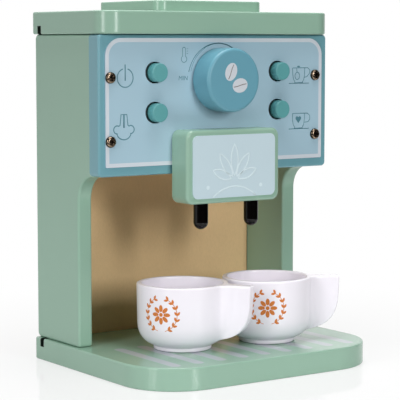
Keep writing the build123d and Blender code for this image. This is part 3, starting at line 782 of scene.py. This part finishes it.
def cup_profile(sizes):
    """Radii and heights in millimetres from under a cup's foot, up its outside and down its inside."""
    rim, height, wall = sizes.rim_radius / MM, sizes.height / MM, sizes.wall / MM
    foot = [(0, 1.2), (14.5, 1.2), (16.4, 0.9), (16.8, 0), (18.6, 0), (19.4, 0.7), (19.4, 2.2), (19.1, 2.9)]
    belly = [(22.6, 4.1), (26.2, BELLY_LOW), (28.8, 10.6)]
    side = [(rim - 0.55, 15.0), (rim - 0.45, 19.5), (rim - 0.35, 25), (rim - 0.2, 31), (rim - 0.1, 37)]
    top = [(rim, height - 1.7), (rim, height), (rim - wall / 2, height), (rim - wall, height)]
    bore = rim - wall
    inside = [(bore, height - 1.7), (bore - 0.1, 36), (bore - 0.3, 25), (bore - 0.7, 17)]
    floor = [(24.6, 11.4), (21, 8.3), (15, 6.9), (7, 6.5), (0, 6.5)]
    return foot + belly + side + top + inside + floor


def mould_cup(name, sizes, place):
    """A cup with a flat wing for a handle, which grows out of its side level with the rim, towards +X."""
    columns = 48
    root_half = math.radians(2 * 360 / columns)  # two columns on each side of the handle's middle
    outward = 0.3  # how squarely a face of the outside looks outwards, at the least
    shape = bmesh.new()
    points = [shape.verts.new((radius * MM, 0, height * MM)) for radius, height in cup_profile(sizes)]
    line = [shape.edges.new(pair) for pair in zip(points, points[1:])]
    bmesh.ops.spin(
        shape,
        geom=points + line,
        axis=(0, 0, 1),
        cent=(0, 0, 0),
        angle=2 * math.pi,
        steps=columns,
        use_merge=True,
        use_duplicate=False,
    )
    bmesh.ops.remove_doubles(shape, verts=shape.verts, dist=0.01 * MM)
    bmesh.ops.recalc_face_normals(shape, faces=shape.faces)

    def in_root(face):
        middle = face.calc_center_median()
        away = Vector((middle.x, middle.y, 0)).normalized()
        turn = abs(math.atan2(middle.y, middle.x))
        return turn < root_half and middle.z > BELLY_LOW * MM and face.normal.dot(away) > outward

    start = shape.verts.layers.float_vector.new("start")
    grown = [face for face in shape.faces if in_root(face)]
    for vert in {corner for face in grown for corner in face.verts}:
        vert[start] = vert.co
    for step in HANDLE_RINGS:
        made = bmesh.ops.extrude_face_region(shape, geom=grown)["geom"]
        bmesh.ops.delete(shape, geom=grown, context="FACES")
        grown = [item for item in made if isinstance(item, bmesh.types.BMFace)]
        for vert in {corner for face in grown for corner in face.verts}:
            vert.co = wing_point(sizes, vert[start], root_half, step)
    bmesh.ops.recalc_face_normals(shape, faces=shape.faces)
    bmesh.ops.transform(shape, matrix=place, verts=shape.verts)
    cup = finished(name, shape, smooth=True)
    soft = cup.modifiers.new("soft", "SUBSURF")
    soft.levels = soft.render_levels = 2
    return cup


def wing_point(sizes, start, root_half, step):
    """A point of the handle: start is where it left the wall, step how far out it is, from 0 to 1."""
    sweep = 82  # degrees that the belly's round turns through
    flare_end = 0.4  # the step at which the root has narrowed to the wing
    belly_low, belly_high = BELLY_LOW * MM, BELLY_HIGH * MM
    belly = sizes.handle_belly
    edge = sizes.handle_reach - sizes.handle_taper * (sizes.height - start.z) / sizes.height
    if start.z < belly_high:
        turn = math.radians(sweep * (start.z - belly_low) / (belly_high - belly_low) - sweep)
        out = edge - belly + belly * math.cos(turn)
        high = sizes.handle_low + belly + belly * math.sin(turn)
    else:
        out = edge
        rise = (start.z - belly_high) / (sizes.height - belly_high)
        high = sizes.handle_low + belly + rise * (sizes.height - sizes.handle_low - belly)
    straight = math.atan2(start.y, start.x) / root_half * sizes.handle_width / 2
    flare = max(0.0, 1 - step / flare_end) ** 2
    side = straight + flare * (start.y - straight)
    return Vector((start.x + (out - start.x) * step, side, start.z + (high - start.z) * step))


def wreath(prints):
    """A flower with eight petals between two leafy twigs, centred on the origin."""
    petal_reach, petal_long, petal_wide = 4.1, 2.3, 1.3
    radius, twig_line, twig_from, twig_to = 11.0, 0.45 * MM, 14, 156
    leaf_span, leaf_width, first_pair, pair_pitch, splay = 3.1, 1.5, 26, 21, 35
    drawing = Drawing(prints.film)
    for turn in full_turn(8):
        x, z = petal_reach * math.cos(turn), petal_reach * math.sin(turn)
        drawing.oval(x, z, petal_long, petal_wide, math.degrees(turn))
    drawing.oval(0, 0, petal_wide, petal_wide)
    for side in (-1, 1):
        drawing.line(arc(0, 0, radius, 270 + side * twig_from, 270 + side * twig_to), twig_line)
        for pair in range(7):
            turn = 270 + side * (first_pair + pair_pitch * pair)
            x, z = radius * math.cos(math.radians(turn)), radius * math.sin(math.radians(turn))
            for lean in (-splay, splay):
                drawing.fill(leaf(x, z, leaf_span, leaf_width, turn + side * (90 + lean)))
    return drawing


def coffee_beans(prints):
    """Two coffee beans as filled ovals, and their curved seams, which lie over them."""
    seam_line, seam_reach, wave, phase = 0.8 * MM, 0.86, 0.2, 3.1
    shares = (-1, -0.5, 0, 0.5, 1)  # where along its half-length a seam has its points
    beans = Drawing(prints.film)
    seams = Drawing(1.6 * prints.film)
    for x, z, long, wide, lean in BEANS:
        beans.oval(x, z, long, wide, lean)
        turn = Matrix.Rotation(math.radians(lean), 2)
        flat = [(seam_reach * long * share, wave * math.sin(phase * share)) for share in shares]
        seam = [turn @ Vector(point) for point in flat]
        seams.line([(x + point.x, z + point.y) for point in seam], seam_line)
    return beans, seams


def leaf_spray(prints):
    """Five leaves that fan out from one foot, over a shallow arc between two dots."""
    foot, gap, fan, width, longest, shorter = 126.0, 3.0, 34, 5.6, 21.0, 2.6
    ground, ground_drop, dot, dot_reach, dot_drop = 26.0, 30.0, 1.3, 21.5, 4.0
    line = 1.0 * MM
    drawing = Drawing(prints.film)
    for step in range(-2, 3):
        span = longest - shorter * abs(step)
        turn = math.radians(90 - fan * step)
        start = Vector((0, foot)) + gap * Vector((math.cos(turn), math.sin(turn)))
        drawing.line(leaf(start.x, start.y, span, width, math.degrees(turn)), line, closed=True)
    drawing.line(arc(0, foot - ground_drop, ground, 132, 48), line)
    for side in (-1, 1):
        drawing.oval(side * dot_reach, foot - dot_drop, dot, dot)
    return drawing


def wrap(print_piece, cup, centre, facing):
    """Bends a flat print round the cup's side, its middle towards a direction in degrees from +X."""
    bpy.context.view_layer.update()
    side = BVHTree.FromObject(cup, bpy.context.evaluated_depsgraph_get())
    outside, bend = 60 * MM, 30 * MM  # distances from the cup's axis
    for vert in print_piece.data.vertices:
        across, lift, up = vert.co.x, -vert.co.y, vert.co.z
        turn = math.radians(facing) + across / bend
        outwards = Vector((math.cos(turn), math.sin(turn), 0))
        start = centre + outwards * outside + Vector((0, 0, up))
        spot = side.ray_cast(start, -outwards)[0]
        vert.co = spot + outwards * lift


# The studio.


def softbox(name, azimuth, elevation, distance, across, tall, watts):
    """A rectangular lamp that looks at the object's middle from an azimuth and elevation in degrees."""
    turn, rise = math.radians(azimuth), math.radians(elevation)
    aim = Vector((math.cos(rise) * math.cos(turn), math.cos(rise) * math.sin(turn), math.sin(rise)))
    light = bpy.data.lights.new(name, "AREA")
    light.shape = "RECTANGLE"
    light.size = across
    light.size_y = tall
    light.energy = watts
    lamp = bpy.data.objects.new(name, light)
    lamp.rotation_euler = aim.to_track_quat("Z", "Y").to_euler()
    lamp.location = LAMP_TARGET + aim * distance
    bpy.context.scene.collection.objects.link(lamp)


def set_camera(scene, studio):
    """The camera, level from side to side."""
    lens = bpy.data.cameras.new("camera")
    lens.sensor_width = SENSOR_WIDTH
    lens.lens = studio.camera_lens
    camera = bpy.data.objects.new("camera", lens)
    camera.location = studio.camera_place
    camera.rotation_euler = (math.radians(90) - studio.camera_pitch, 0, -studio.camera_yaw)
    scene.collection.objects.link(camera)
    scene.camera = camera


def lay_floor(scene, studio):
    """The round table top that the object stands on."""
    ground = bmesh.new()
    bmesh.ops.create_circle(ground, cap_ends=True, segments=96, radius=studio.floor_radius)
    floor = finished("floor", ground)
    scene.collection.objects.link(floor)
    floor.data.materials.append(white_floor(studio))


def white_floor(studio):
    """A pale floor that the camera sees nearly white, with the object's shadow left on it."""
    mirrored = 0.5  # how white a shiny surface sees the floor
    near, far = 0.3 * studio.floor_radius, 0.95 * studio.floor_radius  # where the white grows, and is full
    finish = Finish("white floor", Specular_IOR_Level=1.0)
    fleck = finish.noise(scale=40.0)
    finish.complete(finish.mix(fleck, (0.94, 0.94, 0.94), (0.96, 0.96, 0.96)), 0.07)
    eye, mirror = finish.rays()
    radius = finish.add("ShaderNodeVectorMath", {"operation": "LENGTH"}, {0: finish.where}, output="Value")
    outer = finish.ramp(radius, near, far)
    white = finish.add("ShaderNodeEmission", inputs={"Color": (1, 1, 1, 1), "Strength": 1.0})
    lit = Signal(finish, finish.shader.outputs[0])
    glow = studio.floor_glow + (1 - studio.floor_glow) * outer
    share = finish.maths("MAXIMUM", glow * eye, mirrored * mirror)
    shown = finish.add("ShaderNodeMixShader", inputs={0: share, 1: lit, 2: white})
    finish.feed(finish.tree.nodes["Material Output"].inputs["Surface"], shown)
    return finish.material


def hang_sky(scene):
    """A dark sky that is white to the camera and, behind the object, to shiny surfaces."""
    world = bpy.data.worlds.new("sky")
    scene.world = world
    world.use_nodes = True
    world.node_tree.nodes.clear()
    sky = Nodes(world.node_tree)
    begins, full = -0.1, 0.3  # how far along Y a direction points where the white begins, and is full
    direction = sky.add("ShaderNodeTexCoord", output="Generated")
    behind = sky.ramp(sky.axes(direction)[1], begins, full)
    eye, mirror = sky.rays()
    strength = sky.maths("MAXIMUM", eye, mirror * behind)
    glow = sky.add("ShaderNodeBackground", inputs={"Color": (1, 1, 1, 1), "Strength": strength})
    sky.add("ShaderNodeOutputWorld", inputs={"Surface": glow})


# One operator for each group of pieces, and the panel that lists them.


class StudioOperator(bpy.types.Operator):
    """Sets up the camera, the floor, the lamps and the sky."""

    bl_idname = "coffee.studio"
    bl_label = "Studio"

    def execute(self, context):
        scene = context.scene
        studio = scene.coffee_studio
        scene.view_settings.view_transform = "Standard"
        set_camera(scene, studio)
        lay_floor(scene, studio)
        hang_sky(scene)
        for name, (azimuth, elevation, share, across, tall) in SOFTBOXES.items():
            distance = share * studio.lamp_distance
            watts = getattr(studio, f"{name}_power")
            softbox(f"{name}_softbox", azimuth, elevation, distance, across, tall, watts)
        return {"FINISHED"}


class CaseworkOperator(bpy.types.Operator):
    """Paints the boards, the back panel and the striped base."""

    bl_idname = "coffee.casework"
    bl_label = "Casework"

    def execute(self, context):
        paints = context.scene.coffee_paints
        prints = context.scene.coffee_prints
        # The top and base boards get painted shade in the back panel's groove.
        green = satin_paint("green paint", paints.green, shade_groove=True)
        dress(("top_board", "warmer_plate", "dispenser_head"), green)
        # The walls get painted shade in the lines where they meet the top and base boards.
        walls = satin_paint("green wall paint", paints.green, pattern=painted_joint_shade)
        dress(("left_wall", "right_wall"), walls)
        stripes = base_stripes(prints, paints.stripes)
        name = "green paint with stripes"
        striped = satin_paint(name, paints.green, roughness=0.17, pattern=stripes, shade_groove=True)
        dress(("base_board",), striped)
        # The front board gets painted shade along its joint under the top board.
        dress(("front_board",), satin_paint("teal paint", paints.teal, pattern=painted_joint_shade))
        dress(("back_panel",), fibreboard(paints.board))
        wood = bare_wood(paints.wood)
        dress(("mechanism_floor", "base_dowels", "top_dowels", "warmer_dowels"), wood)
        return {"FINISHED"}


class ControlPlateOperator(bpy.types.Operator):
    """Finishes the control plate and prints its pictograms and scale."""

    bl_idname = "coffee.control_plate"
    bl_label = "Control Plate"

    def execute(self, context):
        paints = context.scene.coffee_paints
        prints = context.scene.coffee_prints
        border = plate_face(prints, paints.border)
        face = satin_paint("control plate print", paints.blue, roughness=0.42, pattern=border)
        dress(("control_plate",), face)
        ink = printed("pictogram ink", paints.ink)
        left = Drawing(prints.film)
        power_sign(left, prints.bold)
        steam_sign(left, prints.bold)
        right = Drawing(prints.film)
        tea_sign(right, prints.fine)
        heart_sign(right, prints.fine)
        middle = Drawing(prints.film)
        thermometer(middle, prints.fine)
        scale(middle, prints.fine, prints.lettering)
        drawings = {"left_pictograms": left, "right_pictograms": right, "scale_print": middle}
        for name, drawing in drawings.items():
            settle(drawing.piece(name, PLATE_FRONT), "housing", ink)
        return {"FINISHED"}


class ButtonsOperator(bpy.types.Operator):
    """Finishes the four push buttons."""

    bl_idname = "coffee.buttons"
    bl_label = "Buttons"

    def execute(self, context):
        paints = context.scene.coffee_paints
        names = [f"{name}_button" for name in BUTTON_NAMES]
        dress(names, satin_paint("button paint", paints.buttons, roughness=0.4))
        return {"FINISHED"}


class KnobOperator(bpy.types.Operator):
    """Finishes the knob and prints two coffee beans on its face."""

    bl_idname = "coffee.knob"
    bl_label = "Knob"

    def execute(self, context):
        paints = context.scene.coffee_paints
        dress(("control_knob",), satin_paint("knob paint", paints.knob, roughness=0.4))
        dress(("knob_shaft",), bpy.data.materials["bare beech"])
        beans, seams = coffee_beans(context.scene.coffee_prints)
        bean_ink = printed("bean ink", paints.beans)
        settle(beans.piece("bean_print", KNOB_FRONT), "knob", bean_ink)
        seam_ink = printed("seam ink", paints.seams)
        settle(seams.piece("bean_seams", KNOB_FRONT), "knob", seam_ink)
        return {"FINISHED"}


class HeadOperator(bpy.types.Operator):
    """Finishes the dispenser head's plate and spouts and prints a spray of leaves on the plate."""

    bl_idname = "coffee.head"
    bl_label = "Dispenser Head"

    def execute(self, context):
        paints = context.scene.coffee_paints
        dress(("head_plate",), satin_paint("pale plate", paints.pale, roughness=0.42))
        dress(("left_spout", "right_spout"), gloss_black(paints.spouts))
        spray = leaf_spray(context.scene.coffee_prints).piece("leaf_spray", HEAD_PLATE_FRONT)
        settle(spray, "housing", printed("ornament ink", paints.ornament, spread=0.03))
        return {"FINISHED"}


class HardwareOperator(bpy.types.Operator):
    """Finishes the screws, washer and brackets."""

    bl_idname = "coffee.hardware"
    bl_label = "Hardware"

    def execute(self, context):
        paints = context.scene.coffee_paints
        dress(("plate_screws",), bronzed(paints.bronze))
        zinc = zinc_plated(paints.zinc)
        dress(("head_screws", "bracket_screws", "base_screws", "knob_washer", "knob_screw"), zinc)
        dress(("left_spring_bracket", "right_spring_bracket"), matt_moulding(paints.moulding))
        return {"FINISHED"}


class SpringsOperator(bpy.types.Operator):
    """Winds the four button springs."""

    bl_idname = "coffee.springs"
    bl_label = "Springs"

    def execute(self, context):
        sizes = context.scene.coffee_springs
        zinc = bpy.data.materials["zinc plated steel"]
        for name in BUTTON_NAMES:
            node = f"{name}_button_spring"
            low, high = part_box(node)
            piece = coil(f"{name}_coil", sizes, low.y, high.y, (low + high) / 2)
            settle(piece, "housing", zinc)
            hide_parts(node)
            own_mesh(piece)
        return {"FINISHED"}


class CupsOperator(bpy.types.Operator):
    """Moulds the cups, glazes them and prints a wreathed flower on each."""

    bl_idname = "coffee.cups"
    bl_label = "Cups"

    def execute(self, context):
        paints = context.scene.coffee_paints
        prints = context.scene.coffee_prints
        sizes = context.scene.coffee_cups
        white = glaze(paints.cup)
        ink = printed("badge ink", paints.badge, gloss=0.35, spread=0.14)
        for side, (x, y, turn, facing) in CUP_PLACES.items():
            foot = Vector((x * MM, y * MM, BASE_TOP))
            place = Matrix.Translation(foot) @ Matrix.Rotation(math.radians(turn), 4, "Z")
            cup = settle(mould_cup(f"{side}_cup_bowl", sizes, place), f"{side}_cup", white)
            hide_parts(f"{side}_cup")
            badge = wreath(prints).piece(f"{side}_cup_badge", 0)
            wrap(badge, cup, foot + Vector((0, 0, sizes.badge_height)), facing)
            settle(badge, f"{side}_cup", ink)
        return {"FINISHED"}


class CoffeePanel(bpy.types.Panel):
    """Lists the pieces of the coffee maker in the 3D view's sidebar."""

    bl_idname = "VIEW3D_PT_coffee"
    bl_label = "Coffee Maker"
    bl_space_type = "VIEW_3D"
    bl_region_type = "UI"
    bl_category = "Coffee Maker"

    def draw(self, context):
        for operator in OPERATORS:
            self.layout.operator(operator.bl_idname)


OPERATORS = (
    StudioOperator,
    CaseworkOperator,
    ControlPlateOperator,
    ButtonsOperator,
    KnobOperator,
    HeadOperator,
    HardwareOperator,
    SpringsOperator,
    CupsOperator,
)
GROUPS = {
    "coffee_paints": CoffeePaints,
    "coffee_prints": CoffeePrints,
    "coffee_springs": CoffeeSprings,
    "coffee_cups": CoffeeCups,
    "coffee_studio": CoffeeStudio,
}


def register():
    for group in GROUPS.values():
        bpy.utils.register_class(group)
    for operator in OPERATORS:
        bpy.utils.register_class(operator)
    bpy.utils.register_class(CoffeePanel)
    for name, group in GROUPS.items():
        setattr(bpy.types.Scene, name, bpy.props.PointerProperty(type=group))


def unregister():
    for name in GROUPS:
        delattr(bpy.types.Scene, name)
    bpy.utils.unregister_class(CoffeePanel)
    for operator in reversed(OPERATORS):
        bpy.utils.unregister_class(operator)
    for group in reversed(GROUPS.values()):
        bpy.utils.unregister_class(group)


def main():
    """Dresses the model piece by piece."""
    register()
    bpy.ops.coffee.studio()
    bpy.ops.coffee.casework()
    bpy.ops.coffee.control_plate()
    bpy.ops.coffee.buttons()
    bpy.ops.coffee.knob()
    bpy.ops.coffee.head()
    bpy.ops.coffee.hardware()
    bpy.ops.coffee.springs()
    bpy.ops.coffee.cups()


if __name__ == "__main__":
    main()
